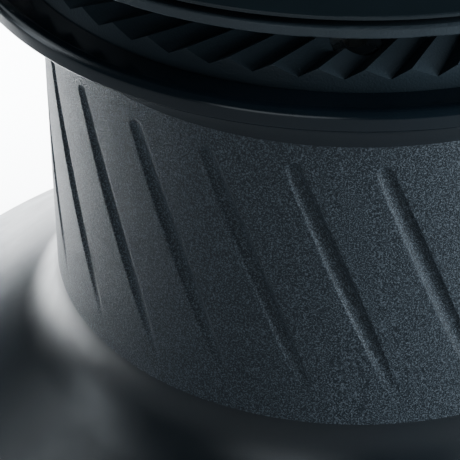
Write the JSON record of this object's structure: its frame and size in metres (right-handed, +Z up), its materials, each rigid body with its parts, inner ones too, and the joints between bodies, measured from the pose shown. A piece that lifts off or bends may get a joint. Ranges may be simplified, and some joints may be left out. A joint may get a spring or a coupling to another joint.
{
  "type": "sailboat winch",
  "caption": "Two-speed self-tailing sailboat winch: ribbed grip drum on a bell-shaped skirt, toothed rope jaw, stripper arm, star handle socket and gear train inside.",
  "frame": {"origin": "centre of the flat underside of the base plate, on the drum's axis, where the winch meets the deck", "axes": "+Z up along the drum's axis towards the handle socket; -Y is the front; the stripper arm stands 30 degrees from +X towards +Y"},
  "size_m": [0.187, 0.187, 0.168],
  "materials": {
    "black_aluminium": "satin black hard-anodised",
    "blasted_aluminium": "sandblasted black hard-anodised drum",
    "crown_black": "black anodised",
    "cover_black": "satin black anodised",
    "stainless": "turned stainless steel",
    "spindle_steel": "polished stainless steel",
    "bronze": "machined aluminium bronze",
    "gear_steel": "machined gear steel",
    "acetal_black": "black acetal",
    "acetal_white": "natural acetal",
    "spring_steel": "spring wire"
  },
  "bodies": {
    "base": {"base_plate": "black_aluminium", "center_stem": "black_aluminium", "stem_screws": "stainless", "gear_pins": "stainless", "gear_washers": "acetal_white", "spindle_lower_bush": "acetal_white", "stem_lower_bush": "acetal_white", "spindle_upper_bush": "acetal_white", "spindle_thrust_washer": "acetal_white", "bearing_spacer": "acetal_black", "drum_thrust_washer": "acetal_white", "stripper_arm": "black_aluminium", "arm_washer": "acetal_white", "top_cap": "cover_black", "cap_screws": "stainless"},
    "drum": {"drum": "blasted_aluminium", "ring_gear": "bronze", "ring_gear_screws": "stainless", "lower_crown": "crown_black", "lower_crown_screws": "stainless", "crown_cover": "cover_black", "cover_screws": "stainless", "crown_springs": "spring_steel"},
    "upper_crown": {"upper_crown": "crown_black"},
    "spindle": {"main_spindle": "spindle_steel", "spindle_gear": "gear_steel", "spindle_key": "stainless", "spindle_circlip": "spring_steel"},
    "idler_gear": {"idler_gear": "bronze"},
    "low_pinion": {"low_pinion": "gear_steel", "low_pawl_springs": "spring_steel"},
    "low_pawl_a": {"low_pawl_a": "gear_steel"},
    "low_pawl_b": {"low_pawl_b": "gear_steel"},
    "high_gear": {"high_gear": "bronze", "high_pawl_springs": "spring_steel"},
    "high_pinion": {"high_pinion": "gear_steel"},
    "high_pawl_a": {"high_pawl_a": "gear_steel"},
    "high_pawl_b": {"high_pawl_b": "gear_steel"},
    "lower_bearing": {"lower_bearing_cage": "acetal_black", "lower_bearing_rollers": "acetal_white"},
    "upper_bearing": {"upper_bearing_cage": "acetal_black", "upper_bearing_rollers": "acetal_white"}
  },
  "joints": [
    {"name": "drum_spin", "type": "hinge", "parent": "base", "child": "drum", "pos_m": [0, 0, 0.09], "axis": [0, 0, -1], "continuous": true},
    {"name": "crown_lift", "type": "slide", "parent": "drum", "child": "upper_crown", "axis": [0, 0, 1], "range_m": [0, 0.001], "stiffness_N_per_m": 4000, "deforming": ["crown_springs"]},
    {"name": "spindle_spin", "type": "hinge", "parent": "base", "child": "spindle", "pos_m": [0, 0, 0.03], "axis": [0, 0, -1], "continuous": true},
    {"name": "idler_spin", "type": "hinge", "parent": "base", "child": "idler_gear", "pos_m": [0.045, 0, 0.03], "axis": [0, 0, -1], "continuous": true},
    {"name": "low_pinion_spin", "type": "hinge", "parent": "base", "child": "low_pinion", "pos_m": [0.045, 0, 0.03], "axis": [0, 0, -1], "continuous": true},
    {"name": "high_gear_spin", "type": "hinge", "parent": "base", "child": "high_gear", "pos_m": [0.01236, 0.03381, 0.03], "axis": [0, 0, -1], "continuous": true},
    {"name": "high_pinion_spin", "type": "hinge", "parent": "base", "child": "high_pinion", "pos_m": [0.01236, 0.03381, 0.03], "axis": [0, 0, -1], "continuous": true},
    {"name": "lower_bearing_spin", "type": "hinge", "parent": "base", "child": "lower_bearing", "pos_m": [0, 0, 0.0635], "axis": [0, 0, -1], "continuous": true},
    {"name": "upper_bearing_spin", "type": "hinge", "parent": "base", "child": "upper_bearing", "pos_m": [0, 0, 0.1115], "axis": [0, 0, -1], "continuous": true},
    {"name": "low_pawl_a_swing", "type": "hinge", "parent": "low_pinion", "child": "low_pawl_a", "pos_m": [0.045, 0.015, 0.0158], "axis": [0, 0, -1], "range_deg": [0, 18], "stiffness_Nm_per_rad": 0.02, "springref_deg": 18},
    {"name": "low_pawl_b_swing", "type": "hinge", "parent": "low_pinion", "child": "low_pawl_b", "pos_m": [0.04348, -0.01492, 0.0158], "axis": [0, 0, -1], "range_deg": [0, 18], "stiffness_Nm_per_rad": 0.02, "springref_deg": 18},
    {"name": "high_pawl_a_swing", "type": "hinge", "parent": "high_gear", "child": "high_pawl_a", "pos_m": [0.00222, 0.03966, 0.0305], "axis": [0, 0, 1], "range_deg": [-18, 0], "stiffness_Nm_per_rad": 0.02},
    {"name": "high_pawl_b_swing", "type": "hinge", "parent": "high_gear", "child": "high_pawl_b", "pos_m": [0.02249, 0.02796, 0.0305], "axis": [0, 0, 1], "range_deg": [-18, 0], "stiffness_Nm_per_rad": 0.02}
  ],
  "couplings": [
    {"joint": "spindle_spin", "follows": "drum_spin", "ratio": 2.8571},
    {"joint": "idler_spin", "follows": "drum_spin", "ratio": -1.2903},
    {"joint": "high_gear_spin", "follows": "drum_spin", "ratio": 2.5},
    {"joint": "high_pinion_spin", "follows": "drum_spin", "ratio": 2.5},
    {"joint": "low_pinion_spin", "follows": "drum_spin", "ratio": 4},
    {"joint": "lower_bearing_spin", "follows": "drum_spin", "ratio": 0.53846},
    {"joint": "upper_bearing_spin", "follows": "drum_spin", "ratio": 0.53846}
  ]
}
